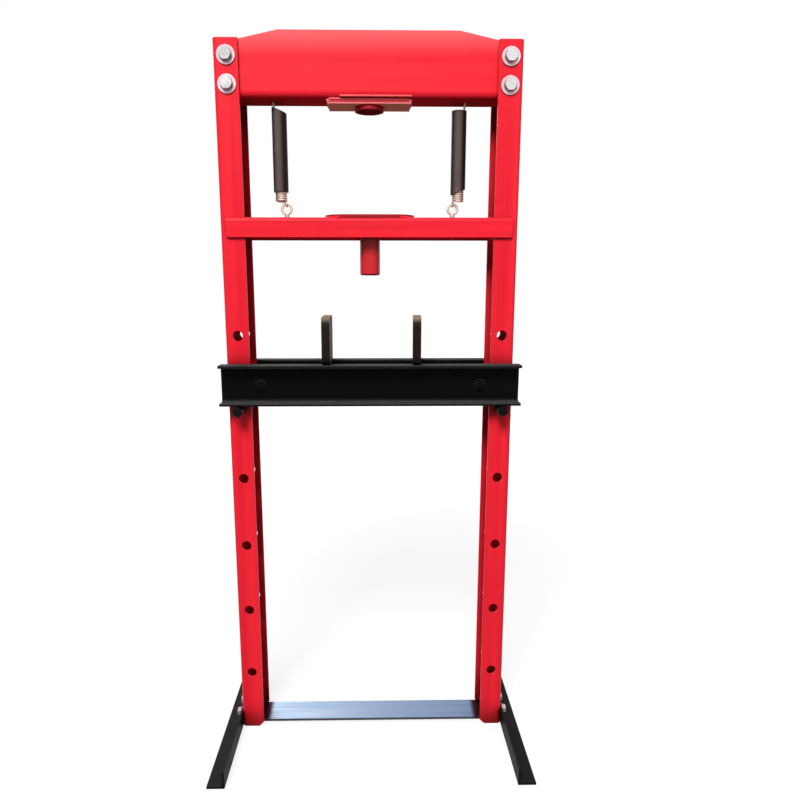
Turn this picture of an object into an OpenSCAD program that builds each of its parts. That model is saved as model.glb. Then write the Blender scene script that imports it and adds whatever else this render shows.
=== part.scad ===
// Manual hydraulic workshop press with an H-frame, without its bottle jack.
// Two bent-channel uprights carry a folded head, and a crossbar hangs from the
// head on two close-wound springs in rubber sleeves. The bed of two rolled channels
// rests on two support pins, and two angle feet with a flat tie bar stand it on the
// floor.
//
// Frame: X across the press, -Y to the front, Z up. The origin is on the floor,
// in the middle of the press. All lengths are in millimetres.

/* [Uprights] */
// Width over the outer faces of the two uprights
frame_w = 520; // [460:1:620]
// Height of an upright
upright_h = 1272; // [1240:1:1400]
// Depth of an upright from front to back
upright_d = 76; // [70:1:90]
// Width of an upright's front and rear flanges
flange_w = 42; // [38:1:50]
// Plate thickness of an upright
upright_t = 4.5; // [3.5:0.1:6]
// Outside radius of an upright's bends
upright_bend_r = 7; // [6.5:0.5:9]
// Chamfer on the lower inside corner of each flange
foot_clip = 9; // [3:0.5:12]

/* [Height holes] */
// Height of the lowest pair of pin holes
first_hole_z = 118.5; // [80:0.5:125]
// Distance between two pairs of pin holes
hole_pitch = 132.5; // [122:0.5:134]
// Number of pin holes in a flange
hole_count = 6; // [5:1:6]
// Pin hole in which the bed stands, counted from the lowest, which is 0
bed_level = 4; // [1:1:4]
// Distance of the hole centres from the outer face of the upright
hole_inset = 22; // [20:0.5:24]
// Diametral clearance of a support pin in its hole
pin_hole_clear = 0.6; // [0.4:0.1:1.5]

/* [Head] */
// Height of the head plates where they enter the uprights
head_side_h = 92; // [88:1:110]
// Rise of the middle of the head plates above their ends
head_rise = 13.5; // [5:0.5:30]
// Drop of the ends of the head plates below the top of the uprights
head_end_drop = 2; // [0:0.5:6]
// Length of the raised flat in the middle of the head
head_flat_w = 304; // [200:1:320]
// Horizontal run of the slope at each end of the raised flat
head_slope_w = 72; // [40:1:76]
// Plate thickness of the head
head_t = 5; // [4:0.5:8]
// Outside radius of the head's two bends
head_bend_r = 12; // [9:0.5:14]
// Gap on each side between the head and the inside of the uprights
head_clear = 0.3; // [0.2:0.1:0.6]
// Gap between an end of the head and the upright's web
head_end_gap = 3; // [2.5:0.5:6]
// Thread diameter of the head bolts
head_bolt_d = 12; // [12:1:18]
// Outside diameter of the wide washers of the head bolts
head_washer_d = 31; // [26:1:34]
// Depth of the upper head bolts below the top of the uprights
upper_bolt_drop = 27; // [22:1:32]
// Distance between the upper and lower head bolts
head_bolt_pitch = 45; // [38:1:48]

/* [Jack seat] */
// Length of the seat plate under the head
seat_w = 142; // [80:1:200]
// Depth of the seat plate from front to back
seat_d = 56; // [52:1:62]
// Thickness of the seat plate
seat_t = 7; // [4:0.5:12]
// Outside diameter of the cup that takes the ram
cup_d = 50; // [40:1:52]
// Height of the cup
cup_h = 7.5; // [5:0.5:14]
// Bore of the cup
cup_bore_d = 38; // [28:1:39]
// Depth of the cup's bore
cup_bore_depth = 5; // [3:0.5:7]

/* [Crossbar] */
// Length of the crossbar's flanges
beam_len = 500; // [440:1:516]
// Height of the crossbar
beam_h = 34; // [30:1:50]
// Plate thickness of the crossbar
beam_t = 4; // [3:0.5:6]
// Outside radius of the crossbar's bends
beam_bend_r = 7; // [6.5:0.5:10]
// Drop of the crossbar's top face below the uprights' tops when the springs hold it up
beam_drop = 286; // [282:1:296]
// Gap on each side between the crossbar's flanges and the uprights
beam_clear = 1.2; // [0.6:0.1:2]
// Gap between the crossbar's web and the edges of the uprights
beam_end_gap = 2; // [1:0.5:4]
// Radius of the corners at the ends of the crossbar's flanges
beam_corner_r = 5; // [2:0.5:10]
// Length of the jack plate on the crossbar
jack_plate_w = 158; // [110:1:180]
// Thickness of the jack plate
jack_plate_t = 5; // [3:0.5:10]
// Corner radius of the jack plate
jack_plate_r = 32; // [4:0.5:36]
// Distance of the jack plate's long edges from the crossbar's faces
jack_plate_inset = 3; // [0:0.5:5]
// Outside diameter of the punch tube
punch_d = 36; // [32:1:60]
// Bore of the punch tube
punch_bore_d = 26; // [16:0.5:28]
// Length of the punch tube below the crossbar's web
punch_len = 94; // [50:1:98]

/* [Return springs] */
// Outside diameter of a return spring
spring_od = 21.2; // [19:0.2:22]
// Wire diameter of a return spring
spring_wire = 3; // [2.4:0.1:3]
// Distance of a spring's axis from the middle of the press
spring_x = 157; // [140:1:165]
// Height from the top of a spring's coil to the top of its upper hook
hook_rise = 27; // [22:0.5:34]
// Wire diameter of an eye bolt's ring
eye_wire = 4.5; // [4:0.1:5]
// Inside diameter of an eye bolt's ring
eye_bore_d = 12; // [11:0.5:14]
// Thread diameter of an eye bolt
eye_bolt_d = 8; // [6:1:10]
// Height of the middle of the ring above the crossbar
eye_rise = 17.5; // [16:0.5:20]
// Length of a spring's rubber sleeve on its long side
sleeve_len = 140; // [110:1:142]
// Wall thickness of a sleeve
sleeve_t = 1.5; // [1:0.1:2.5]
// Height by which a sleeve's slanted end is cut down
sleeve_slant = 10; // [0:0.5:14]
// Height of the left sleeve's lower end above the crossbar
left_sleeve_rise = 46; // [36:0.5:46]
// Height of the right sleeve's lower end above the crossbar
right_sleeve_rise = 41.5; // [36:0.5:46]

/* [Bed] */
// Length of the bed
bed_len = 540; // [480:1:640]
// Height of the bed's channels
bed_h = 73; // [60:1:80]
// Flange width of the bed's channels
bed_flange = 32; // [25:1:40]
// Web and flange thickness of the bed's channels
bed_t = 5; // [4:0.5:7]
// Gap between each bed channel and the uprights
bed_clear = 0.8; // [0.5:0.1:2]
// Distance of the bed's tie bolts from the outer faces of the uprights
bed_bolt_inset = 61; // [58:1:110]
// Thread diameter of the bed's tie bolts
bed_bolt_d = 10; // [8:1:14]
// Outside diameter of the spacer tubes between the bed's channels
spacer_d = 26; // [20:1:28]

/* [Support pins] */
// Diameter of a support pin
pin_d = 18; // [14:0.5:20]
// Length of a support pin
pin_len = 152; // [152:1:200]
// Gap between a support pin and the bed on it
bed_seat_gap = 0.2; // [0.1:0.1:0.5]

/* [Press plates] */
// Length of a press plate from front to back
plate_len = 150; // [110:1:180]
// Height of a press plate standing on edge
plate_h = 84; // [50:1:84]
// Thickness of a press plate
plate_t = 15; // [10:0.5:25]
// Radius of a press plate's corners
plate_corner_r = 18; // [5:0.5:20]
// Place of the left press plate across the bed
left_plate_x = -80; // [-120:1:-45]
// Place of the right press plate across the bed
right_plate_x = 86; // [45:1:120]
// Turn of the left press plate, as it was put down by hand
left_plate_turn = 1.5; // [-4:0.5:4]
// Turn of the right press plate, as it was put down by hand
right_plate_turn = -3; // [-4:0.5:4]

/* [Feet and tie bar] */
// Length of an angle foot from front to back
foot_len = 440; // [360:1:520]
// Leg width of an angle foot
foot_leg = 32; // [30:1:45]
// Thickness of an angle foot
foot_t = 4; // [3:0.5:6]
// Width of the flat tie bar
tie_w = 60; // [48:1:62]
// Thickness of the tie bar
tie_t = 5; // [3:0.5:6]
// Height of the tie bar's underside above the floor
tie_z = 5; // [2:0.5:6]
// Height of the turned-up ends of the tie bar
tie_tab_h = 32; // [30:1:45]
// Thread diameter of the foot bolts
foot_bolt_d = 10; // [6:1:10]
// Height of the foot bolts above the floor
foot_bolt_z = 22.5; // [22:0.5:23]
// Distance of a foot bolt from the middle, towards the front or back
foot_bolt_y = 21; // [14:0.5:22]

/* [Hidden] */

// Facets of round shapes, and of large ones
$fn = 48;
// Colours of the painted and plated pieces
red_paint = [0.93, 0.17, 0.20];
black_paint = [0.13, 0.12, 0.12];
zinc = [0.78, 0.82, 0.86];
dark_steel = [0.33, 0.28, 0.26];
black_rubber = [0.16, 0.14, 0.13];

// Overlap with which one shape of a piece runs into the next, and cuts run out
join = 1;
// Diametral clearance of a bolt in its hole and of a nut on its thread
bolt_clear = 1;
thread_clear = 0.2;
// Washer, head and nut sizes as shares of the thread diameter
washer_ratio = 1.9;
washer_t_ratio = 0.18;
hex_ratio = 1.5;
bolt_head_ratio = 0.64;
nut_ratio = 0.8;
// Length of thread that stands out of a nut
thread_end = 3;

// Outer face of an upright's web, its inner face and the edge of its flanges
web_out_x = frame_w / 2;
web_in_x = web_out_x - upright_t;
flange_edge_x = web_out_x - flange_w;
// Inner face of an upright's flanges
flange_in_y = upright_d / 2 - upright_t;

// Heights and places of the pin holes
hole_x = web_out_x - hole_inset;
function hole_z(i) = first_hole_z + i * hole_pitch;
pin_z = hole_z(bed_level);

// Head: half depth, underside, and the places of its bolts
head_y = flange_in_y - head_clear;
head_z = upright_h - head_side_h;
head_web_top = head_z + head_t;
function head_bolt_z(lower) = upright_h - upper_bolt_drop - lower * head_bolt_pitch;

// Crossbar: top, inner and outer faces of its flanges, and its underside
beam_top_z = upright_h - beam_drop;
beam_in_y = upright_d / 2 + beam_clear;
beam_out_y = beam_in_y + beam_t;
beam_z = beam_top_z - beam_h;

// Springs: mean coil radius, and play between a hook and what it hangs on
coil_r = (spring_od - spring_wire) / 2;
hook_gap = 0.3;
eye_gap = 0.5;
turn_gap = 0.09;
// A hook bends up from the coil, then turns two square corners over to its end
hook_bend_r = (eye_wire + spring_wire + eye_gap) / 2;
hook_inner_r = 2;
hook_corner_r = hook_inner_r + spring_wire / 2;
hook_back_y = hook_bend_r + hook_inner_r;
// Heights of the ring, of the two hooks and of the ends of the coil
eye_z = beam_top_z + eye_rise;
hook_top_z = head_web_top + spring_wire / 2 + hook_gap;
hook_low_z = eye_z + eye_bore_d / 2 - spring_wire / 2 - hook_gap;
low_hook_rise = spring_wire + eye_wire + hook_gap + eye_gap;
coil_low_z = hook_low_z + low_hook_rise;
coil_top_z = hook_top_z - hook_rise;
// Length of the straight end of the upper and the lower hook
hook_tail = 12;
low_hook_tail = 0.5;
// The lower hook is on the inner side of the coil and the upper one on the outer
eye_x = spring_x - coil_r;
hook_x = spring_x + coil_r;
// Holes in the head for the legs of the upper hook
hook_hole_clear = 2.8;
hook_hole_d = spring_wire + hook_hole_clear;
// Collar on which an eye bolt stands
eye_collar_t = 3;
// The coil is close wound, so its number of turns follows from its height
spring_turns = floor((coil_top_z - coil_low_z) / (spring_wire + turn_gap) - 0.5);
// Bore of a sleeve, which takes the coil and the first leg of the upper hook
sleeve_play = 0.2;
sleeve_bore_d = 2 * norm([coil_r, hook_bend_r]) + spring_wire + sleeve_play;
// Segments in a turn of the coil, and sides of the wire
turn_steps = 10;
wire_sides = 6;

// Bed: underside, top, and inner face of its webs
bed_z = pin_z + pin_d / 2 + bed_seat_gap;
bed_bolt_x = web_out_x - bed_bolt_inset;
bed_top_z = bed_z + bed_h;
bed_in_y = upright_d / 2 + bed_clear;
bed_root_r = 1.2 * bed_t;
bed_toe_r = 0.4 * bed_t;
// Chamfer of the support pins' ends
pin_chamfer = 1.5;

// ---- Shared shapes -------------------------------------------------------

// Outline of a channel bent from plate: depth d along Y, flanges f long along X,
// thickness t and outside bend radius r, with its web at x = 0
module bent_channel_2d(d, f, t, r) {
    inner_r = r - t;
    difference() {
        channel_shape_2d(d, f, r);
        translate([t, 0])
            channel_shape_2d(d - 2 * t, f, inner_r);
    }
}

// A rectangle of depth d and length f with the two corners at x = 0 rounded
module channel_shape_2d(d, f, r) {
    translate([r, -d / 2])
        square([f - r, d]);
    translate([0, -d / 2 + r])
        square([r + join, d - 2 * r]);
    for (side = [-1, 1])
        translate([r, side * (d / 2 - r)])
            circle(r);
}

// A rectangle centred on the origin with four rounded corners
module round_rect_2d(w, h, r) {
    square([w - 2 * r, h], center = true);
    square([w, h - 2 * r], center = true);
    for (sx = [-1, 1], sy = [-1, 1])
        translate([sx * (w / 2 - r), sy * (h / 2 - r)])
            circle(r);
}

// Turns a shape so that its Z axis points to the front, to the back or sideways
module to_front() { rotate([90, 0, 0]) children(); }
module to_back() { rotate([-90, 0, 0]) children(); }
module to_right() { rotate([0, 90, 0]) children(); }

// Hexagon prism with its outer end chamfered
module hex_head(d, h) {
    across = hex_ratio * d;
    corner_r = across / sqrt(3);
    intersection() {
        cylinder(h = h, r = corner_r, $fn = 6);
        cylinder(h = h, r1 = corner_r + h, r2 = across / 2);
    }
}

// Bolt with its head above z = 0 and a shank of the given length below it
module bolt(d, length) {
    hex_head(d, bolt_head_ratio * d);
    translate([0, 0, -length])
        cylinder(h = length + join, d = d);
    translate([0, 0, -length - d / 10])
        cylinder(h = d / 10, d1 = 0.8 * d, d2 = d);
}

// Nut that stands on z = 0
module nut(d) {
    difference() {
        hex_head(d, nut_ratio * d);
        translate([0, 0, -join])
            cylinder(h = nut_ratio * d + 2 * join, d = d + thread_clear);
    }
}

// Flat washer that stands on z = 0, of usual width unless another is given
module washer(d, wide = 0) {
    difference() {
        cylinder(h = washer_t_ratio * d, d = max(wide, washer_ratio * d));
        translate([0, 0, -join])
            cylinder(h = washer_t_ratio * d + 2 * join, d = d + bolt_clear);
    }
}

// Length of a bolt's shank through a stack with a washer at each end and a nut
function shank(d, stack) = stack + (2 * washer_t_ratio + nut_ratio) * d + thread_end;

// ---- Uprights ------------------------------------------------------------

// Upright: a bent channel with its web outside and its flanges inwards.
// side is -1 for the left one and 1 for the right one
module upright(side) {
    color(red_paint)
    difference() {
        translate([side * web_out_x, 0, 0])
            mirror([side > 0 ? 1 : 0, 0, 0])
                linear_extrude(upright_h)
                    bent_channel_2d(upright_d, flange_w, upright_t, upright_bend_r);
        for (i = [0 : hole_count - 1])
            translate([side * hole_x, 0, hole_z(i)])
                cross_hole(pin_d + pin_hole_clear, upright_d);
        for (lower = [0, 1])
            translate([side * hole_x, 0, head_bolt_z(lower)])
                cross_hole(head_bolt_d + bolt_clear, upright_d);
        for (end = [-1, 1])
            translate([side * web_out_x, end * foot_bolt_y, foot_bolt_z])
                to_right()
                    cylinder(h = 4 * upright_t, d = foot_bolt_d + bolt_clear, center = true);
        translate([side * flange_edge_x, 0, 0])
            rotate([0, 45, 0])
                cube([foot_clip * sqrt(2), upright_d + 2 * join, foot_clip * sqrt(2)], center = true);
    }
}

// Hole that runs from front to back through a piece of the given depth
module cross_hole(d, depth) {
    to_front()
        cylinder(h = depth + 2 * join, d = d, center = true);
}

// ---- Head and jack seat --------------------------------------------------

// Head: one plate folded to a trough, higher in the middle than at its ends
module head_beam() {
    half = web_in_x - head_end_gap;
    top = upright_h + head_rise;
    end_top = upright_h - head_end_drop;
    flat = head_flat_w / 2;
    slope_end = flat + head_slope_w;
    color(red_paint)
    difference() {
        intersection() {
            translate([-half, 0, head_z])
                rotate([90, 0, 90])
                    linear_extrude(2 * half)
                        rotate(90)
                            bent_channel_2d(2 * head_y, top - head_z, head_t, head_bend_r);
            to_front()
                linear_extrude(upright_d, center = true)
                    polygon([[-half, head_z], [half, head_z], [half, end_top],
                             [slope_end, end_top], [flat, top], [-flat, top],
                             [-slope_end, end_top], [-half, end_top]]);
        }
        for (side = [-1, 1], lower = [0, 1])
            translate([side * hole_x, 0, head_bolt_z(lower)])
                cross_hole(head_bolt_d + bolt_clear, upright_d);
        for (side = [-1, 1], leg_y = [hook_bend_r, -hook_back_y])
            translate([side * hook_x, side * leg_y, head_z - join])
                cylinder(h = head_t + 2 * join, d = hook_hole_d);
    }
}

// Plate welded under the head, which the jack pushes against
module jack_seat_plate() {
    color(red_paint)
    translate([-seat_w / 2, -seat_d / 2, head_z - seat_t])
        cube([seat_w, seat_d, seat_t]);
}

// Shallow cup under the seat plate, which keeps the jack's ram in the middle
module ram_cup() {
    cup_z = head_z - seat_t - cup_h;
    color(red_paint)
    difference() {
        translate([0, 0, cup_z])
            cylinder(h = cup_h, d = cup_d);
        translate([0, 0, cup_z - join])
            cylinder(h = cup_bore_depth + join, d = cup_bore_d);
    }
}

// Head bolt, from the front. side is -1 for left, lower is 1 for the lower one
module head_bolt(side, lower) {
    head_y0 = upright_d / 2 + washer_t_ratio * head_bolt_d;
    color(zinc)
    translate([side * hole_x, -head_y0, head_bolt_z(lower)])
        to_front()
            bolt(head_bolt_d, shank(head_bolt_d, upright_d) - washer_t_ratio * head_bolt_d);
}

module head_nut(side, lower) {
    color(zinc)
    translate([side * hole_x, upright_d / 2 + washer_t_ratio * head_bolt_d, head_bolt_z(lower)])
        to_back()
            nut(head_bolt_d);
}

// Washers under the four heads and the four nuts
module head_washers() {
    color(zinc)
    for (side = [-1, 1], lower = [0, 1])
        translate([side * hole_x, 0, head_bolt_z(lower)]) {
            translate([0, -upright_d / 2, 0])
                to_front()
                    washer(head_bolt_d, head_washer_d);
            translate([0, upright_d / 2, 0])
                to_back()
                    washer(head_bolt_d, head_washer_d);
        }
}

// ---- Crossbar ------------------------------------------------------------

// Crossbar: a folded channel with its web on top. Its flanges run in front of and
// behind the uprights, and its web ends between them
module crossbar() {
    web_half = flange_edge_x - beam_end_gap;
    color(red_paint)
    difference() {
        intersection() {
            translate([-beam_len / 2, 0, beam_top_z])
                rotate([90, 0, 90])
                    linear_extrude(beam_len)
                        rotate(-90)
                            bent_channel_2d(2 * beam_out_y, beam_h, beam_t, beam_bend_r);
            translate([0, 0, beam_z + beam_h / 2])
                to_front()
                    linear_extrude(4 * beam_out_y, center = true)
                        round_rect_2d(beam_len, beam_h, beam_corner_r);
        }
        for (side = [-1, 1])
            translate([side * (web_half + beam_len), 0, beam_top_z])
                cube([2 * beam_len, 2 * beam_in_y, 4 * beam_bend_r], center = true);
        for (side = [-1, 1])
            translate([side * eye_x, 0, beam_top_z - 2 * beam_t])
                cylinder(h = 3 * beam_t, d = eye_bolt_d + bolt_clear);
    }
}

// Plate welded on the crossbar, on which the jack stands
module jack_plate() {
    color(red_paint)
    translate([0, 0, beam_top_z])
        linear_extrude(jack_plate_t)
            round_rect_2d(jack_plate_w, 2 * (beam_out_y - jack_plate_inset), jack_plate_r);
}

// Tube welded under the crossbar's web, which presses on the work
module punch_tube() {
    wall = (punch_d - punch_bore_d) / 2;
    chamfer = wall / 2;
    color(red_paint)
    translate([0, 0, beam_top_z - beam_t - punch_len])
        rotate_extrude()
            polygon([[punch_bore_d / 2, 0], [punch_d / 2 - chamfer, 0], [punch_d / 2, chamfer],
                     [punch_d / 2, punch_len], [punch_bore_d / 2, punch_len]]);
}

// Eye bolt that stands in the crossbar, with its ring facing the front
module eye_bolt(side) {
    ring_r = (eye_bore_d + eye_wire) / 2;
    shank_low = beam_top_z - beam_t - nut_ratio * eye_bolt_d - thread_end;
    color(zinc)
    translate([side * eye_x, 0, 0]) {
        translate([0, 0, eye_z])
            to_front()
                rotate_extrude()
                    translate([ring_r, 0])
                        circle(d = eye_wire, $fn = 24);
        translate([0, 0, shank_low])
            cylinder(h = eye_z - ring_r - shank_low, d = eye_bolt_d);
        translate([0, 0, beam_top_z])
            cylinder(h = eye_collar_t, d = 2 * eye_bolt_d);
    }
}

module eye_nut(side) {
    color(zinc)
    translate([side * eye_x, 0, beam_top_z - beam_t])
        mirror([0, 0, 1])
            nut(eye_bolt_d);
}

// ---- Return springs ------------------------------------------------------

// A return spring is one wire: a close-wound coil with a hook bent up at its top
// and another bent down at its bottom. The path is worked out about the middle of
// the coil, and the lower hook is a shorter upper one turned half round about Y.
// Each path entry is [point, side vector].

// Half height of the coil, and its turns as degrees
coil_half = (coil_top_z - coil_low_z) / 2;
coil_sweep = 360 * (spring_turns + 0.5);
coil_steps = turn_steps * spring_turns + turn_steps / 2;

// Coil from its lower end, on the -X side, to its upper end, on the +X side
coil_path = [
    for (i = [0 : coil_steps])
        let (turn = 180 + coil_sweep * i / coil_steps)
        let (out = [cos(turn), sin(turn), 0])
        [coil_r * out + [0, 0, coil_half * (2 * i / coil_steps - 1)], out]
];

// Part of a circle in the plane of a hook, from angle a to angle b
function hook_arc(y, z, r, a, b) = [
    for (turn = [a : 22.5 : b])
        [[coil_r, y + r * cos(turn), z + r * sin(turn)], [1, 0, 0]]
];

// Hook of the given height: it leaves the coil along +Y, goes up, over and down
function hook_path(rise, tail) =
    let (rim_z = coil_half + rise - hook_corner_r)
    concat(
        hook_arc(0, coil_half + hook_bend_r, hook_bend_r, -90, 0),
        hook_arc(hook_bend_r - hook_corner_r, rim_z, hook_corner_r, 0, 90),
        hook_arc(hook_corner_r - hook_back_y, rim_z, hook_corner_r, 90, 180),
        [[[coil_r, -hook_back_y, rim_z - tail], [1, 0, 0]]]
    );
upper_hook = hook_path(hook_rise, hook_tail);
lower_hook = hook_path(low_hook_rise, low_hook_tail);

// A path entry turned half round about Y
function half_turn(p) = [[-p[0].x, p[0].y, -p[0].z], [-p[1].x, p[1].y, -p[1].z]];

// The whole wire, from the end of the lower hook to the end of the upper one
spring_path = concat(
    [for (i = [len(lower_hook) - 1 : -1 : 1]) half_turn(lower_hook[i])],
    coil_path,
    [for (i = [1 : len(upper_hook) - 1]) upper_hook[i]]
);

function unit(v) = v / norm(v);

// Ring of points round the wire at entry i of a path
function wire_ring(path, i) =
    let (last = len(path) - 1)
    let (ahead = path[min(i + 1, last)][0] - path[max(i - 1, 0)][0])
    let (along = unit(ahead))
    let (up = unit(cross(along, path[i][1])))
    let (out = cross(up, along))
    [for (k = [0 : wire_sides - 1])
        let (turn = 360 * (k + 0.5) / wire_sides)
        path[i][0] + spring_wire / 2 * (cos(turn) * out + sin(turn) * up)];

// A closed wire of wire_sides sides along a path
module wire(path) {
    rings = len(path);
    points = [for (i = [0 : rings - 1]) each wire_ring(path, i)];
    walls = [
        for (i = [0 : rings - 2], k = [0 : wire_sides - 1])
            let (next = (k + 1) % wire_sides)
            [i * wire_sides + k, i * wire_sides + next,
             (i + 1) * wire_sides + next, (i + 1) * wire_sides + k]
    ];
    start_cap = [for (k = [wire_sides - 1 : -1 : 0]) k];
    end_cap = [for (k = [0 : wire_sides - 1]) (rings - 1) * wire_sides + k];
    polyhedron(points = points, faces = concat([start_cap], walls, [end_cap]), convexity = 10);
}

module spring(side) {
    color(dark_steel)
    translate([side * spring_x, 0, (coil_top_z + coil_low_z) / 2])
        rotate(side > 0 ? 0 : 180)
            wire(spring_path);
}

// Rubber sleeve round a spring, cut off at a slant at one end. The right one is the
// same piece turned upside down
module spring_sleeve(side) {
    rise = side < 0 ? left_sleeve_rise : right_sleeve_rise;
    outer_d = sleeve_bore_d + 2 * sleeve_t;
    slant = atan(sleeve_slant / outer_d);
    color(black_rubber)
    translate([side * spring_x, 0, beam_top_z + rise + sleeve_len / 2])
        rotate([side > 0 ? 180 : 0, 0, 0])
            difference() {
                cylinder(h = sleeve_len, d = outer_d, center = true);
                cylinder(h = sleeve_len + 2 * join, d = sleeve_bore_d, center = true);
                translate([0, 0, (sleeve_len - sleeve_slant) / 2])
                    rotate([0, slant, 0])
                        translate([-outer_d, -outer_d, 0])
                            cube([2 * outer_d, 2 * outer_d, sleeve_len]);
            }
}

// ---- Bed -----------------------------------------------------------------

// Rolled channel of the bed, with its flanges outwards.
// end is -1 for the front one and 1 for the rear one
module bed_channel(end) {
    color(black_paint)
    difference() {
        translate([-bed_len / 2, end * bed_in_y, bed_z])
            mirror([0, end < 0 ? 1 : 0, 0])
                rotate([90, 0, 90])
                    linear_extrude(bed_len)
                        bed_channel_2d();
        for (side = [-1, 1])
            translate([side * bed_bolt_x, end * bed_in_y, bed_z + bed_h / 2])
                cross_hole(bed_bolt_d + bolt_clear, 2 * bed_t);
    }
}

// Section of a rolled channel: web at x = 0, with round roots and toes
module bed_channel_2d() {
    difference() {
        square([bed_flange, bed_h]);
        translate([bed_t, bed_h / 2])
            channel_shape_2d(bed_h - 2 * bed_t, bed_flange, bed_root_r);
        for (top = [0, 1])
            translate([bed_flange, bed_h / 2 + (top - 0.5) * bed_h])
                mirror([0, top, 0])
                    toe_cut_2d();
    }
}

// What is taken off an outer flange corner to round it
module toe_cut_2d() {
    difference() {
        translate([-bed_toe_r, -join])
            square([bed_toe_r + join, bed_toe_r + join]);
        translate([-bed_toe_r, bed_toe_r])
            circle(bed_toe_r);
    }
}

// Spacer tube on the tie bolt between the two channels
module bed_spacer(side) {
    color(black_paint)
    translate([side * bed_bolt_x, 0, bed_z + bed_h / 2])
        difference() {
            to_front()
                cylinder(h = 2 * bed_in_y, d = spacer_d, center = true);
            cross_hole(bed_bolt_d + bolt_clear, 2 * bed_in_y);
        }
}

module bed_bolt(side) {
    head_y0 = bed_in_y + bed_t + washer_t_ratio * bed_bolt_d;
    length = shank(bed_bolt_d, 2 * (bed_in_y + bed_t)) - washer_t_ratio * bed_bolt_d;
    color(black_paint)
    translate([side * bed_bolt_x, -head_y0, bed_z + bed_h / 2])
        to_front()
            bolt(bed_bolt_d, length + washer_t_ratio * bed_bolt_d);
}

module bed_nut(side) {
    color(black_paint)
    translate([side * bed_bolt_x, bed_in_y + bed_t + washer_t_ratio * bed_bolt_d, bed_z + bed_h / 2])
        to_back()
            nut(bed_bolt_d);
}

// Washers under the heads and nuts of the two tie bolts
module bed_washers() {
    color(black_paint)
    for (side = [-1, 1])
        translate([side * bed_bolt_x, 0, bed_z + bed_h / 2]) {
            translate([0, -bed_in_y - bed_t, 0])
                to_front()
                    washer(bed_bolt_d);
            translate([0, bed_in_y + bed_t, 0])
                to_back()
                    washer(bed_bolt_d);
        }
}

// Loose press plate, standing on edge on the bed from front to back
module press_plate(x, turn) {
    color(dark_steel)
    translate([x, 0, bed_top_z + plate_h / 2])
        rotate([90, 0, 90 + turn])
            linear_extrude(plate_t, center = true)
                round_rect_2d(plate_len, plate_h, plate_corner_r);
}

// Support pin through both flanges of an upright, under the bed
module support_pin(side) {
    chamfer = pin_chamfer;
    color(black_paint)
    translate([side * hole_x, 0, pin_z])
        to_front()
            rotate_extrude()
                polygon([[0, -pin_len / 2], [pin_d / 2 - chamfer, -pin_len / 2],
                         [pin_d / 2, -pin_len / 2 + chamfer], [pin_d / 2, pin_len / 2 - chamfer],
                         [pin_d / 2 - chamfer, pin_len / 2], [0, pin_len / 2]]);
}

// ---- Feet and tie bar ----------------------------------------------------

// Angle foot outside an upright, with one leg on the floor
module foot(side) {
    color(black_paint)
    difference() {
        translate([side * web_out_x, foot_len / 2, 0])
            mirror([side > 0 ? 0 : 1, 0, 0])
                to_front()
                    linear_extrude(foot_len)
                        angle_2d(foot_leg, foot_t);
        for (end = [-1, 1])
            translate([side * web_out_x, end * foot_bolt_y, foot_bolt_z])
                to_right()
                    cylinder(h = 4 * foot_t, d = foot_bolt_d + bolt_clear, center = true);
    }
}

// Section of an angle: two legs with a round root
module angle_2d(leg, t) {
    root_r = t;
    difference() {
        square([leg, leg]);
        translate([t + root_r, t])
            square([leg, leg]);
        translate([t, t + root_r])
            square([leg, leg]);
        translate([t + root_r, t + root_r])
            circle(root_r);
    }
}

// Tie bar: a flat strip between the uprights with both ends turned up
module tie_bar() {
    bend_r = 1.6 * tie_t;
    color(zinc)
    difference() {
        translate([0, tie_w / 2, tie_z])
            to_front()
                linear_extrude(tie_w)
                    rotate(90)
                        bent_channel_2d(2 * web_in_x, tie_tab_h, tie_t, bend_r);
        for (side = [-1, 1], end = [-1, 1])
            translate([side * web_in_x, end * foot_bolt_y, foot_bolt_z])
                to_right()
                    cylinder(h = 4 * tie_t, d = foot_bolt_d + bolt_clear, center = true);
    }
}

// Places what follows on the axis of a foot bolt, with +Z outwards
module at_foot_bolt(side, end, x) {
    translate([side * x, end * foot_bolt_y, foot_bolt_z])
        rotate([0, side * 90, 0])
            children();
}

module foot_bolt(side, end) {
    stack = foot_t + upright_t + tie_t;
    color(zinc)
    at_foot_bolt(side, end, web_out_x + foot_t + washer_t_ratio * foot_bolt_d)
        bolt(foot_bolt_d, shank(foot_bolt_d, stack) - washer_t_ratio * foot_bolt_d);
}

module foot_nut(side, end) {
    color(zinc)
    at_foot_bolt(side, end, web_in_x - tie_t)
        mirror([0, 0, 1])
            nut(foot_bolt_d);
}

// Washers under the heads of the foot bolts
module foot_washers() {
    color(zinc)
    for (side = [-1, 1], end = [-1, 1])
        at_foot_bolt(side, end, web_out_x + foot_t)
            washer(foot_bolt_d);
}

// ---- Assembly ------------------------------------------------------------

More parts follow.
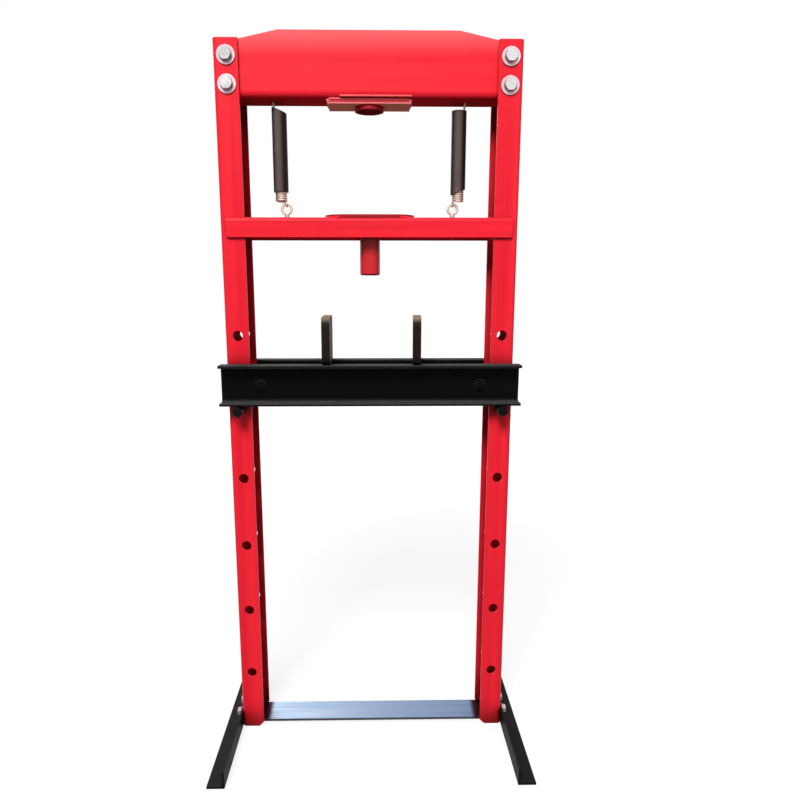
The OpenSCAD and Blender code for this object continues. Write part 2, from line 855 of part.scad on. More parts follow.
upright(-1);  // left_upright
upright(1);  // right_upright
head_beam();
jack_seat_plate();
ram_cup();
head_bolt(-1, 0);  // head_bolt_upper_left
head_bolt(1, 0);  // head_bolt_upper_right
head_bolt(-1, 1);  // head_bolt_lower_left
head_bolt(1, 1);  // head_bolt_lower_right
head_nut(-1, 0);  // head_nut_upper_left
head_nut(1, 0);  // head_nut_upper_right
head_nut(-1, 1);  // head_nut_lower_left
head_nut(1, 1);  // head_nut_lower_right
head_washers();
crossbar();
jack_plate();
punch_tube();
spring(-1);  // left_spring
spring(1);  // right_spring
spring_sleeve(-1);  // left_spring_sleeve
spring_sleeve(1);  // right_spring_sleeve
eye_bolt(-1);  // left_eye_bolt
eye_bolt(1);  // right_eye_bolt
eye_nut(-1);  // left_eye_nut
eye_nut(1);  // right_eye_nut
bed_channel(-1);  // front_bed_channel
bed_channel(1);  // rear_bed_channel
bed_spacer(-1);  // left_bed_spacer
bed_spacer(1);  // right_bed_spacer
bed_bolt(-1);  // left_bed_bolt
bed_bolt(1);  // right_bed_bolt
bed_nut(-1);  // left_bed_nut
bed_nut(1);  // right_bed_nut
bed_washers();
press_plate(left_plate_x, left_plate_turn);  // left_press_plate
press_plate(right_plate_x, right_plate_turn);  // right_press_plate
support_pin(-1);  // left_support_pin
support_pin(1);  // right_support_pin
foot(-1);  // left_foot
foot(1);  // right_foot
tie_bar();
foot_bolt(-1, -1);  // foot_bolt_front_left
foot_bolt(1, -1);  // foot_bolt_front_right
foot_bolt(-1, 1);  // foot_bolt_rear_left
foot_bolt(1, 1);  // foot_bolt_rear_right
foot_nut(-1, -1);  // foot_nut_front_left
foot_nut(1, -1);  // foot_nut_front_right
foot_nut(-1, 1);  // foot_nut_rear_left
foot_nut(1, 1);  // foot_nut_rear_right
foot_washers();
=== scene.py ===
# %% [markdown]
# # A workshop press, dressed
# The press is a tall H: two red channel uprights, a folded red head, a red crossbar
# that hangs on two sleeved springs, and a black bed that stands on two pins. Its
# solids arrive finished from the CAD model. This lesson gives them their paint,
# plating and rubber, adds the welds, threads and springs that are too fine for the
# solids, and shows the result in a plain pale room.

# %% Load the press
import math

import bpy
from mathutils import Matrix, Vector


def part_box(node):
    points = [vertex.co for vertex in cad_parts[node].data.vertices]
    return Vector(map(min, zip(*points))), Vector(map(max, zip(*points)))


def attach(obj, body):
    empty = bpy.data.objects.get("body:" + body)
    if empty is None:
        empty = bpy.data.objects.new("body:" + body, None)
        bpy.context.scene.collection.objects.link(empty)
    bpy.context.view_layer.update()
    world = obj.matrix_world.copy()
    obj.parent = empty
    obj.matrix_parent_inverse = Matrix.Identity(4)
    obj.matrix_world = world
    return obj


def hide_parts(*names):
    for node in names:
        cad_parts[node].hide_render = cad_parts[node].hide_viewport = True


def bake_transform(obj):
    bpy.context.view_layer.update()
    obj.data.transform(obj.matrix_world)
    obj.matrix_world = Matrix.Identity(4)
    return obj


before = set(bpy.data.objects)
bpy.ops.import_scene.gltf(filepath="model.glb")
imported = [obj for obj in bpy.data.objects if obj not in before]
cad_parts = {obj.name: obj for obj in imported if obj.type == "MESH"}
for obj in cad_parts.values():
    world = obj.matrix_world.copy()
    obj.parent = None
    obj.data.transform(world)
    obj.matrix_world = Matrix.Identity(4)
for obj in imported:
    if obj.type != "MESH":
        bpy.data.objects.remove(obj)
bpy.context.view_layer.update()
MM = 0.001

# %% [markdown]
# ## The camera
# The press is seen almost straight from the front, from about two thirds of its
# height and rather close, so the feet spread out and the underside of the head shows.
# A wide lens close by does this; a long lens from far off would flatten it. The small
# lens shift frames the press without turning the camera away from it.

# %% Place the camera
EYE = Vector((0.0074, -1.310, 0.864))
TILT_DOWN = math.radians(11.63)
TURN_RIGHT = math.radians(1.07)

camera_data = bpy.data.cameras.new("camera")
camera_data.lens = 31.55
camera_data.sensor_width = 36
camera_data.shift_x = 0.0155
camera_data.shift_y = 0.0414
camera_data.clip_start = 0.05
camera = bpy.data.objects.new("camera", camera_data)
bpy.context.scene.collection.objects.link(camera)
camera.location = EYE
camera.rotation_euler = (math.pi / 2 - TILT_DOWN, 0, -TURN_RIGHT)
bpy.context.scene.camera = camera
bpy.context.scene.view_settings.view_transform = "Standard"
print("camera at", tuple(round(v, 3) for v in camera.location))

# %% [markdown]
# ## Light and room
# Red gloss paint needs something bright and even to reflect, or it goes black. The
# room is therefore white all round. What the camera and the reflections see of it is
# full white, but it lights the press only weakly, so that the lamps can shape it: one
# large soft lamp high up on the left, a weak one on the right, and one behind for the
# back. Their strengths are set so that a colour renders about as bright as it is
# written. The room is made of nodes, as the finishes are, so the helpers that add,
# link, feed and calculate come first.

# %% Helpers for node trees
def add(tree, kind, **settings):
    """Adds a node to a tree and sets its properties."""
    node = tree.nodes.new(kind)
    for name, value in settings.items():
        setattr(node, name, value)
    return node


def wire_up(tree, *pairs):
    """Links sockets in pairs: (from, to), (from, to), ..."""
    for source, target in pairs:
        tree.links.new(source, target)


def feed(tree, socket, value):
    """Sets an input socket to a number or a tuple, or links a socket to it."""
    if isinstance(value, (int, float, tuple)):
        socket.default_value = value
    else:
        tree.links.new(value, socket)


def math_node(tree, operation, a, b=None, clamp=False):
    """A Math node; a and b are sockets or numbers. Gives its output socket."""
    node = add(tree, "ShaderNodeMath", operation=operation, use_clamp=clamp)
    feed(tree, node.inputs[0], a)
    if b is not None:
        feed(tree, node.inputs[1], b)
    return node.outputs[0]


print("node helpers ready")

# %% Light the room
ROOM_SEEN = 1.0
ROOM_LIGHT = 0.16
WHITE = (1.0, 1.0, 1.0, 1.0)

world = bpy.data.worlds.new("white room")
bpy.context.scene.world = world
world.use_nodes = True
sky = world.node_tree
sky.nodes.clear()


def seen(tree):
    """1 for what the camera, gloss and glass see; 0 where a surface is being lit."""
    rays = add(tree, "ShaderNodeLightPath")
    direct = math_node(tree, "MAXIMUM", rays.outputs["Is Camera Ray"],
                       rays.outputs["Is Glossy Ray"])
    return math_node(tree, "MAXIMUM", direct, rays.outputs["Is Transmission Ray"])


def room_shade(strength):
    """The room's white at a strength. Gives its shader socket."""
    shade = add(sky, "ShaderNodeBackground")
    shade.inputs["Color"].default_value = WHITE
    shade.inputs["Strength"].default_value = strength
    return shade.outputs[0]


room_out = add(sky, "ShaderNodeOutputWorld")
room_mix = add(sky, "ShaderNodeMixShader")
wire_up(sky,
        (seen(sky), room_mix.inputs[0]),
        (room_shade(ROOM_LIGHT), room_mix.inputs[1]),
        (room_shade(ROOM_SEEN), room_mix.inputs[2]),
        (room_mix.outputs[0], room_out.inputs["Surface"]))
print("room seen at", ROOM_SEEN, "and lighting at", ROOM_LIGHT)

# %% Hang the lamps
PRESS_MIDDLE = Vector((0, 0, 0.7))


def lamp(name, spot, size, power):
    """A square soft lamp that points at the middle of the press."""
    data = bpy.data.lights.new(name, "AREA")
    data.size = size
    data.energy = power
    obj = bpy.data.objects.new(name, data)
    bpy.context.scene.collection.objects.link(obj)
    obj.location = spot
    aim = PRESS_MIDDLE - Vector(spot)
    obj.rotation_euler = aim.to_track_quat("-Z", "Y").to_euler()


lamp("key_lamp", (-0.95, -4.3, 4.85), size=2.0, power=398)
lamp("fill_lamp", (3.4, -4.4, 2.6), size=2.6, power=30)
lamp("back_lamp", (-1.8, 4.4, 3.4), size=2.6, power=84)
print("lamps:", len(bpy.data.lights))

# %% [markdown]
# ## The floor
# The floor is one large pale sheet. Part of its brightness is its own glow, seen only
# by the camera and in reflections, so that it meets the white room without an edge.
# The glow is weaker round the press, where ordinary matt paint does the rest and
# keeps the soft shadow.

# %% Lay the floor
FLOOR_HALF = 12.0
FLOOR_DROP = 0.5 * MM
FLOOR_GREY = (0.24, 0.24, 0.24, 1.0)
SHADOW_REACH, GLOW_REACH = 0.5, 3.5
GLOW_NEAR, GLOW_FAR = 0.80, 1.0


def between(tree, value, low, high, to_low=0.0, to_high=1.0, **settings):
    """Maps a grey value from low..high to to_low..to_high, held at both ends."""
    node = add(tree, "ShaderNodeMapRange", **settings)
    tree.links.new(value, node.inputs["Value"])
    for title, number in (("From Min", low), ("From Max", high),
                          ("To Min", to_low), ("To Max", to_high)):
        feed(tree, node.inputs[title], number)
    return node.outputs[0]


def object_place(tree):
    """Where a point lies on the object, as a socket."""
    return add(tree, "ShaderNodeTexCoord").outputs["Object"]


floor_mesh = bpy.data.meshes.new("floor")
corners = [(x * FLOOR_HALF, y * FLOOR_HALF, 0)
           for x, y in ((-1, -1), (1, -1), (1, 1), (-1, 1))]
floor_mesh.from_pydata(corners, [], [(0, 1, 2, 3)])
floor = bpy.data.objects.new("floor", floor_mesh)
floor.location.z = -FLOOR_DROP
bpy.context.scene.collection.objects.link(floor)

floor_paint = bpy.data.materials.new("pale floor")
floor_paint.use_nodes = True
tree = floor_paint.node_tree
tree.nodes.clear()
floor_out = add(tree, "ShaderNodeOutputMaterial")
floor_matt = add(tree, "ShaderNodeBsdfDiffuse")
floor_matt.inputs["Color"].default_value = FLOOR_GREY
floor_glow = add(tree, "ShaderNodeEmission")
floor_glow.inputs["Color"].default_value = WHITE
from_press = add(tree, "ShaderNodeVectorMath", operation="LENGTH")
tree.links.new(object_place(tree), from_press.inputs[0])
fade = between(tree, from_press.outputs["Value"], SHADOW_REACH, GLOW_REACH,
               GLOW_NEAR, GLOW_FAR, interpolation_type="SMOOTHSTEP")
floor_sum = add(tree, "ShaderNodeAddShader")
wire_up(tree,
        (math_node(tree, "MULTIPLY", seen(tree), fade), floor_glow.inputs["Strength"]),
        (floor_matt.outputs[0], floor_sum.inputs[0]),
        (floor_glow.outputs[0], floor_sum.inputs[1]),
        (floor_sum.outputs[0], floor_out.inputs["Surface"]))
floor_mesh.materials.append(floor_paint)
print("floor laid,", 2 * FLOOR_HALF, "m wide")

# %% [markdown]
# ## Effects that several finishes share
# Paint, plating and bare steel on one machine have things in common: their edges are
# a little round and worn, their skin is not quite even, and dust settles on what
# faces up. Each effect is one node group, built once. A group gives out only masks,
# heights and normals; the shader itself stays in each material.

# %% Helpers for node groups
GREY, VECTOR = "NodeSocketFloat", "NodeSocketVector"
EVEN = (1.0, 1.0, 1.0)


def effect(name, inputs, outputs):
    """Starts a node group: inputs as {name: default}, outputs as {name: socket kind}."""
    group = bpy.data.node_groups.new(name, "ShaderNodeTree")
    for title, default in inputs.items():
        kind = VECTOR if isinstance(default, tuple) else GREY
        socket = group.interface.new_socket(name=title, in_out="INPUT", socket_type=kind)
        socket.default_value = default
    for title, kind in outputs.items():
        group.interface.new_socket(name=title, in_out="OUTPUT", socket_type=kind)
    start = add(group, "NodeGroupInput")
    end = add(group, "NodeGroupOutput")
    return group, start.outputs, end.inputs


def vector_node(tree, operation, a, b):
    """A Vector Math node; b is a socket or an (x, y, z). Gives all its outputs."""
    node = add(tree, "ShaderNodeVectorMath", operation=operation)
    tree.links.new(a, node.inputs[0])
    feed(tree, node.inputs[1], b)
    return node.outputs


def noise(tree, coordinates, scale, detail, rough):
    """A Noise texture on the given coordinates. Gives its grey output socket."""
    node = add(tree, "ShaderNodeTexNoise")
    tree.links.new(coordinates, node.inputs["Vector"])
    for title, value in (("Scale", scale), ("Detail", detail), ("Roughness", rough)):
        feed(tree, node.inputs[title], value)
    return node.outputs["Fac"]


def facing(tree):
    """Which way the surface faces, as a socket."""
    return add(tree, "ShaderNodeNewGeometry").outputs["Normal"]


def one_of(tree, vector, axis):
    """The X, Y or Z number of a vector socket, as a socket."""
    split = add(tree, "ShaderNodeSeparateXYZ")
    tree.links.new(vector, split.inputs[0])
    return split.outputs[axis]


print("group helpers ready")

# %% [markdown]
# ### Worn and highlit edges
# No edge on a machine is sharp, and paint is thinnest on an edge, so that is where it
# chips. The Bevel node gives a rounded normal near each edge without new faces, and
# the angle between that normal and the flat one says how near the edge is. A noise
# breaks the worn band into chips, and the more wear, the more of them. Where the band
# is wide and full, as on the seat plate and the black bed, it is a painted highlight.

# %% Build the worn edges group
EDGE_STARTS, EDGE_FULL = 0.99, 0.80
WHOLE_PAINT = 0.82
CHIP_FADE = 0.05

edges, given, made = effect("edge wear and edge highlights", {"Radius": 0.0008, "Wear": 0.3},
                            {"Mask": GREY, "Normal": VECTOR})
bevel = add(edges, "ShaderNodeBevel", samples=4)
wire_up(edges, (given["Radius"], bevel.inputs["Radius"]),
        (bevel.outputs[0], made["Normal"]))
lean = vector_node(edges, "DOT_PRODUCT", bevel.outputs[0], facing(edges))["Value"]
nearness = between(edges, lean, EDGE_STARTS, EDGE_FULL)
patches = noise(edges, object_place(edges), scale=90.0, detail=5.0, rough=0.65)
threshold = math_node(edges, "SUBTRACT", WHOLE_PAINT, given["Wear"])
chips = between(edges, patches, threshold,
                math_node(edges, "ADD", threshold, CHIP_FADE))
worn_and_lit = math_node(edges, "MULTIPLY", nearness, chips, clamp=True)
wire_up(edges, (worn_and_lit, made["Mask"]))
print("group:", edges.name)

# %% [markdown]
# ### Paint skin
# Sprayed or dipped enamel is not glass: it has the faint dimples called orange peel,
# a few specks of dust under it, and it is a little thinner here than there. Four
# noises at four sizes give a height, a tone and a haze. On long pieces the tone can be
# stretched, because paint follows the lines that the rolls left.

# %% Build the paint skin group
RUN_HEIGHT = 1.5

skin, given, made = effect(
    "paint skin",
    {"Dimples per metre": 420.0, "Specks": 0.3, "Stretch": EVEN},
    {"Height": GREY, "Tone": GREY, "Haze": GREY},
)
where = object_place(skin)
pulled = vector_node(skin, "MULTIPLY", where, given["Stretch"])["Vector"]
peel = noise(skin, where, given["Dimples per metre"], detail=2.0, rough=0.4)
runs = noise(skin, pulled, scale=14.0, detail=2.0, rough=0.5)
speck = between(skin, noise(skin, where, scale=900.0, detail=1.0, rough=0.5), 0.74, 0.80)
speck = math_node(skin, "MULTIPLY", speck, given["Specks"])
height = math_node(skin, "ADD", peel, math_node(skin, "MULTIPLY", runs, RUN_HEIGHT))
height = math_node(skin, "ADD", height, speck)
tone = between(skin, runs, 0.3, 0.7)
haze = between(skin, noise(skin, where, scale=35.0, detail=4.0, rough=0.6), 0.35, 0.75)
wire_up(skin, (height, made["Height"]), (tone, made["Tone"]), (haze, made["Haze"]))
print("group:", skin.name)

# %% [markdown]
# ### Settled dust
# Dust lies on what faces up and gathers in patches. The mask is the upward part of
# the surface's normal, broken up by a noise. On the black bed and the press plates
# the colour it lays is partly dust and partly a painted highlight on their tops.

# %% Build the settled dust group
dust, given, made = effect("settled dust", {"Amount": 0.3}, {"Mask": GREY})
upward = between(dust, one_of(dust, facing(dust), "Z"), 0.5, 1.0)
patchy = noise(dust, object_place(dust), scale=60.0, detail=5.0, rough=0.65)
patchy = between(dust, patchy, 0.35, 0.75, to_low=0.55)
lying = math_node(dust, "MULTIPLY", upward, patchy)
lying = math_node(dust, "MULTIPLY", lying, given["Amount"], clamp=True)
wire_up(dust, (lying, made["Mask"]))
print("group:", dust.name)

# %% [markdown]
# ### Painted corner shade
# Where two pieces meet, little light gets in. Ambient Occlusion measures how open
# each point is within a reach, and the mask is strong in corners only. The colour it
# lays there is painted shade.

# %% Build the crevices group
corner_shade, given, made = effect("painted corner shade", {"Reach": 0.012}, {"Mask": GREY})
openness = add(corner_shade, "ShaderNodeAmbientOcclusion", samples=6)
closed = between(corner_shade, openness.outputs["AO"], 0.35, 0.85, to_low=1.0, to_high=0.0)
wire_up(corner_shade, (given["Reach"], openness.inputs["Distance"]), (closed, made["Mask"]))
print("group:", corner_shade.name)

# %% [markdown]
# ### Painted underside shade
# Undersides are darkened in their colour, as painted shade, and made rougher. The
# mask is the downward part of the normal.

# %% Build the dry undersides group
underside_shade, given, made = effect("painted underside shade", {"Amount": 1.0}, {"Mask": GREY})
downward = between(underside_shade, one_of(underside_shade, facing(underside_shade), "Z"), -0.60, -0.96)
underside_dark = math_node(underside_shade, "MULTIPLY", downward, given["Amount"], clamp=True)
wire_up(underside_shade, (underside_dark, made["Mask"]))
print("group:", underside_shade.name)

# %% [markdown]
# ### Drawn grain
# Rolled and drawn bars carry fine lines along their length, and plating follows them.
# A noise that is squeezed across the bar and stretched along it gives such lines.

# %% Build the drawn grain group
grain, given, made = effect(
    "drawn grain", {"Stretch": EVEN, "Lines per metre": 900.0},
    {"Lines": GREY, "Stains": GREY},
)
where = object_place(grain)
pulled = vector_node(grain, "MULTIPLY", where, given["Stretch"])["Vector"]
lines = noise(grain, pulled, given["Lines per metre"], detail=3.0, rough=0.6)
lines = between(grain, lines, 0.25, 0.75)
stains = noise(grain, where, scale=22.0, detail=5.0, rough=0.6)
stains = between(grain, stains, 0.35, 0.72)
wire_up(grain, (lines, made["Lines"]), (stains, made["Stains"]))
print("group:", grain.name)

# %% [markdown]
# ## Finishes
# Every finish is a plain Principled shader. Its own sockets hold what is the same all
# over; the groups change colour, roughness and height over the surface.

# %% Helpers for finishes
def finish(name, roughness, metallic=0.0, specular=0.5):
    """A new material with its Principled shader. Gives (material, tree, shader)."""
    material = bpy.data.materials.new(name)
    material.use_nodes = True
    tree = material.node_tree
    shader = tree.nodes["Principled BSDF"]
    shader.inputs["Metallic"].default_value = metallic
    shader.inputs["Roughness"].default_value = roughness
    shader.inputs["Specular IOR Level"].default_value = specular
    return material, tree, shader


def place(tree, group, **values):
    """Puts an effect group in a material and sets its inputs (underscores for spaces).
    Gives the group's outputs."""
    node = add(tree, "ShaderNodeGroup", node_tree=group)
    for title, value in values.items():
        node.inputs[title.replace("_", " ")].default_value = value
    return node.outputs


def blend_colour(tree, mask, first, second):
    """Mixes two colours by a mask; each is a socket or an (r, g, b)."""
    mix = add(tree, "ShaderNodeMix", data_type="RGBA")
    tree.links.new(mask, mix.inputs["Factor"])
    for socket, value in ((mix.inputs[6], first), (mix.inputs[7], second)):
        feed(tree, socket, (*value, 1) if isinstance(value, tuple) else value)
    return mix.outputs[2]


def raise_surface(tree, shader, height, depth, normal=None):
    """Gives a shader a Bump of the given depth in metres, on an optional normal."""
    bump = add(tree, "ShaderNodeBump")
    bump.inputs["Strength"].default_value = 1.0
    bump.inputs["Distance"].default_value = depth
    wire_up(tree, (height, bump.inputs["Height"]), (bump.outputs[0], shader.inputs["Normal"]))
    if normal is not None:
        tree.links.new(normal, bump.inputs["Normal"])


print("finish helpers ready")

# %% [markdown]
# ### Painted steel
# The uprights, the head, the crossbar and the tube wear red enamel; the bed, its bolts
# and the feet wear a thin satin black; the loose press plates are only oiled. All are
# built the same way: a tone that drifts a little, painted shade in the corners and
# underneath, worn edges that show primer or steel, dust on top, and orange peel in
# the gloss. On some pieces the edges and the dust are also a painted highlight. Four
# settings suit a paint to its piece. `stretch` says which way the tone runs: across a
# beam, or up an upright. `reach` says how far the painted shade reaches out of a
# corner, which is far inside the deep uprights. `sheen_above` is a height over which
# the paint turns pale, a painted sheen, as on the rise of the head. `rounded` is off
# where the edge mask is so wide that it colours a whole narrow face, which has to
# stay flat.

# %% A helper that mixes a paint
ACROSS = (0.15, 1.0, 5.0)
UPWARD = (5.0, 1.0, 0.15)
SHEEN_FADE = 0.035
SHEEN_STRENGTH = 0.8
HAZE_ROUGHNESS = 0.12


def enamel(name, colour, thin_colour, shade_and_grime, bare_and_highlight=(0.45, 0.09, 0.09), roughness=0.36,
           gloss=0.12, wear=0.10, dust_and_sheen_amount=0.05, peel_depth=0.00002,
           dust_and_sheen=(0.62, 0.56, 0.52), edge_radius=0.0009, reach=0.012, stretch=EVEN,
           rounded=True, sheen_above=None):
    """A painted finish with worn edges, painted shade in corners and underneath, dust, a
    painted sheen where asked, and orange peel.
    """
    material, tree, shader = finish(name, roughness, specular=gloss)
    coat = place(tree, skin, Stretch=stretch)
    edge = place(tree, edges, Radius=edge_radius, Wear=wear)
    dust_and_sheen_mask = place(tree, dust, Amount=dust_and_sheen_amount)["Mask"]
    underside_shade_mask = place(tree, underside_shade)["Mask"]
    body = blend_colour(tree, coat["Tone"], colour, thin_colour)
    # Painted shade: undersides and corners take the darker shade_and_grime colour.
    body = blend_colour(tree, underside_shade_mask, body, shade_and_grime)
    body = blend_colour(tree, place(tree, corner_shade, Reach=reach)["Mask"], body, shade_and_grime)
    body = blend_colour(tree, edge["Mask"], body, bare_and_highlight)
    body = blend_colour(tree, dust_and_sheen_mask, body, dust_and_sheen)
    # A painted sheen: above the given height the colour pales towards the edge colour.
    if sheen_above is not None:
        level = one_of(tree, object_place(tree), "Z")
        pale = between(tree, level, sheen_above, sheen_above + SHEEN_FADE, to_high=SHEEN_STRENGTH)
        body = blend_colour(tree, pale, body, bare_and_highlight)
    dull = between(tree, coat["Haze"], 0.0, 1.0, roughness, roughness + HAZE_ROUGHNESS)
    dull = math_node(tree, "ADD", dull, dust_and_sheen_mask, clamp=True)
    dull = math_node(tree, "ADD", dull, underside_shade_mask, clamp=True)
    wire_up(tree, (body, shader.inputs["Base Color"]), (dull, shader.inputs["Roughness"]))
    raise_surface(tree, shader, coat["Height"], peel_depth,
                  edge["Normal"] if rounded else None)
    return material


print("paint helper ready")

# %% Mix the reds
# SHADE_RED is the painted shade in the corners and under the red pieces.
RED, THIN_RED, SHADE_RED = (0.92, 0.020, 0.037), (0.76, 0.012, 0.028), (0.38, 0.003, 0.006)

red_enamel = enamel("red enamel", RED, THIN_RED, SHADE_RED, stretch=ACROSS)
# On the uprights the shade colour is near black and reaches far, darkening the insides of the
# channels: painted shade.
upright_enamel = enamel("red enamel on the uprights", RED, THIN_RED,
                        shade_and_grime=(0.16, 0.002, 0.002), reach=0.075, stretch=UPWARD)
# The head's pale band along its top is a painted sheen.
head_enamel = enamel("red enamel on the head", RED, THIN_RED, SHADE_RED,
                     bare_and_highlight=(0.92, 0.13, 0.14), stretch=ACROSS, sheen_above=1.247)
# On the tube the shade colour is near black and reaches far: a painted shadow under the
# crossbar.
tube_enamel = enamel("red enamel on the tube", (0.62, 0.020, 0.028), (0.54, 0.017, 0.024),
                     shade_and_grime=(0.02, 0.0005, 0.0005), roughness=0.28, gloss=0.22, wear=0.3,
                     peel_depth=0.00003, reach=0.05)
# A darker copy of the red for the jack plate and the cup, which sit in shade: painted shade.
shaded_enamel = enamel("red enamel darkened for painted shade", (0.42, 0.012, 0.020), (0.30, 0.008, 0.014),
                       shade_and_grime=(0.12, 0.006, 0.008), bare_and_highlight=(0.20, 0.012, 0.016),
                       roughness=0.44, gloss=0.14, wear=0.5, peel_depth=0.00004)
# The seat plate's pale pink edges are a painted highlight; its underside is brown.
seat_enamel = enamel("red enamel with a painted edge highlight", (0.60, 0.014, 0.024), (0.46, 0.010, 0.018),
                     shade_and_grime=(0.56, 0.25, 0.155), bare_and_highlight=(1.0, 0.36, 0.38), gloss=0.20,
                     wear=1.0, peel_depth=0.00004, edge_radius=0.0050, reach=0.004,
                     rounded=False)
# Paler than the red: a painted highlight on the weld beads.
bead_enamel = enamel("paler enamel over a weld for a painted highlight", (0.92, 0.085, 0.10), (0.80, 0.045, 0.06),
                     shade_and_grime=(0.30, 0.01, 0.014), bare_and_highlight=(0.92, 0.26, 0.26), roughness=0.30,
                     gloss=0.35, wear=0.6, peel_depth=0.00004)
print("reds:", red_enamel.name, upright_enamel.name, head_enamel.name, seat_enamel.name)

# %% Mix the blacks and the oiled steel
# The bed's grey edges and the grey on its tops are partly a painted highlight, where its
# flanges catch the light.
black_satin = enamel("black satin paint", (0.0016, 0.0018, 0.0018),
                     (0.003, 0.0028, 0.0028), shade_and_grime=(0.001, 0.001, 0.001),
                     bare_and_highlight=(0.075, 0.072, 0.072), roughness=0.42, gloss=0.03, wear=0.9,
                     dust_and_sheen_amount=0.34, peel_depth=0.00003, dust_and_sheen=(0.20, 0.20, 0.20),
                     edge_radius=0.0040, stretch=ACROSS)
bolt_black = enamel("black paint on bolts", (0.0022, 0.0022, 0.0022),
                    (0.004, 0.004, 0.004), shade_and_grime=(0.001, 0.001, 0.001),
                    bare_and_highlight=(0.03, 0.03, 0.03), roughness=0.46, gloss=0.03, wear=0.3,
                    dust_and_sheen_amount=0.08, peel_depth=0.00003, dust_and_sheen=(0.10, 0.10, 0.10))
foot_satin = enamel("black paint on the feet", (0.006, 0.0055, 0.0055),
                    (0.009, 0.0085, 0.0085), shade_and_grime=(0.002, 0.002, 0.002),
                    bare_and_highlight=(0.06, 0.06, 0.06), roughness=0.45, gloss=0.03, wear=0.3,
                    dust_and_sheen_amount=0.07, peel_depth=0.00003, dust_and_sheen=(0.16, 0.15, 0.15))
# The plates' brown on their tops and edges is partly dust and wear, partly a painted
# highlight where the tops and rounded corners catch the light.
plate_steel = enamel("oiled plate steel", (0.009, 0.005, 0.004), (0.016, 0.010, 0.008),
                     shade_and_grime=(0.003, 0.002, 0.002), bare_and_highlight=(0.24, 0.17, 0.12),
                     roughness=0.50, gloss=0.06, wear=0.45, dust_and_sheen_amount=1.3,
                     peel_depth=0.00004, dust_and_sheen=(0.28, 0.21, 0.14), edge_radius=0.0014)
print("blacks:", black_satin.name, bolt_black.name, foot_satin.name, plate_steel.name)

# %% [markdown]
# ### Plating and bare steel
# The head bolts and all the nuts are zinc plated: bright and slightly cloudy. The wide
# washers and the foot bolts are a paler, warmer zinc. The pins are blackened, and the
# springs' wire and the eye bolts are a dull warm zinc. A metal has no paint skin, so
# it is built from grain, stains, painted shade in the corners and bright edges instead.

# %% Mix the metals
METAL_EDGE = 0.7 * MM
STAIN_ROUGHNESS = 0.15
COARSE_LINES = 240.0
ALONG_Y = (1.0, 0.08, 1.0)


def bar_steel(name, colour, stained, shade_and_grime, edge_colour, roughness, wear, grain_depth,
              stretch=EVEN, lines_per_metre=900.0):
    """A metal finish with grain, stains, painted shade in corners and bright edges."""
    material, tree, shader = finish(name, roughness, metallic=1.0)
    drawn = place(tree, grain, Stretch=stretch, Lines_per_metre=lines_per_metre)
    edge = place(tree, edges, Radius=METAL_EDGE, Wear=wear)
    body = blend_colour(tree, drawn["Stains"], colour, stained)
    # Painted shade in the corners.
    body = blend_colour(tree, place(tree, corner_shade)["Mask"], body, shade_and_grime)
    body = blend_colour(tree, edge["Mask"], body, edge_colour)
    rough = between(tree, drawn["Stains"], 0.0, 1.0, roughness,
                    roughness + STAIN_ROUGHNESS)
    wire_up(tree, (body, shader.inputs["Base Color"]), (rough, shader.inputs["Roughness"]))
    raise_surface(tree, shader, drawn["Lines"], grain_depth, edge["Normal"])
    return material


bright_zinc = bar_steel("bright zinc", (0.45, 0.44, 0.44), (0.26, 0.26, 0.26),
                        shade_and_grime=(0.08, 0.03, 0.03), edge_colour=(0.80, 0.76, 0.77),
                        roughness=0.50, wear=0.5, grain_depth=0.00012,
                        lines_per_metre=COARSE_LINES)
washer_zinc = bar_steel("pale zinc", (0.56, 0.42, 0.46), (0.44, 0.32, 0.35),
                        shade_and_grime=(0.10, 0.03, 0.03), edge_colour=(0.52, 0.36, 0.40),
                        roughness=0.56, wear=0.3, grain_depth=0.00006,
                        lines_per_metre=COARSE_LINES)
pin_steel = bar_steel("blackened steel", (0.008, 0.007, 0.007), (0.005, 0.004, 0.004),
                      shade_and_grime=(0.002, 0.002, 0.002), edge_colour=(0.06, 0.055, 0.05),
                      roughness=0.46, wear=0.3, grain_depth=0.00003, stretch=ALONG_Y)
wire_steel = bar_steel("spring wire", (0.66, 0.55, 0.47), (0.48, 0.39, 0.33),
                       shade_and_grime=(0.17, 0.125, 0.10), edge_colour=(0.80, 0.70, 0.62),
                       roughness=0.52, wear=0.3, grain_depth=0.00002)
print("metals:", bright_zinc.name, washer_zinc.name, pin_steel.name, wire_steel.name)

# %% [markdown]
# ### The tie bar
# The tie bar is plated flat bar with grain along its length. Its blue is a painted
# reflection of a blue sky, deeper at one end than at the other. Its sheared front edge
# is darker than its face: painted shade. Its last centimetre beside each upright is
# dark and reddish: painted shade from the upright and a painted reflection of its red.
# The corners are darkened too, as painted shade. Masks along X and on the front edge
# do all this, so the bar needs no unwrapping and no painted image.

# %% Mix the tie bar's plating
TIE_HALF = 0.22
DARK_FROM, DARK_TO = 0.203, 0.211

tie_zinc, tree, shader = finish("plated flat bar", roughness=0.4, metallic=1.0)
drawn = place(tree, grain, Stretch=(0.02, 1.0, 1.0), Lines_per_metre=260.0)
edge = place(tree, edges, Radius=METAL_EDGE, Wear=0.2)
side_place = one_of(tree, object_place(tree), "X")
along = between(tree, side_place, -TIE_HALF, TIE_HALF)
# The blue and its drift along X are a painted reflection of a sky.
body = blend_colour(tree, along, (0.34, 0.38, 0.45), (0.12, 0.18, 0.31))
streaked = blend_colour(tree, along, (0.17, 0.26, 0.38), (0.24, 0.32, 0.48))
body = blend_colour(tree, drawn["Lines"], body, streaked)
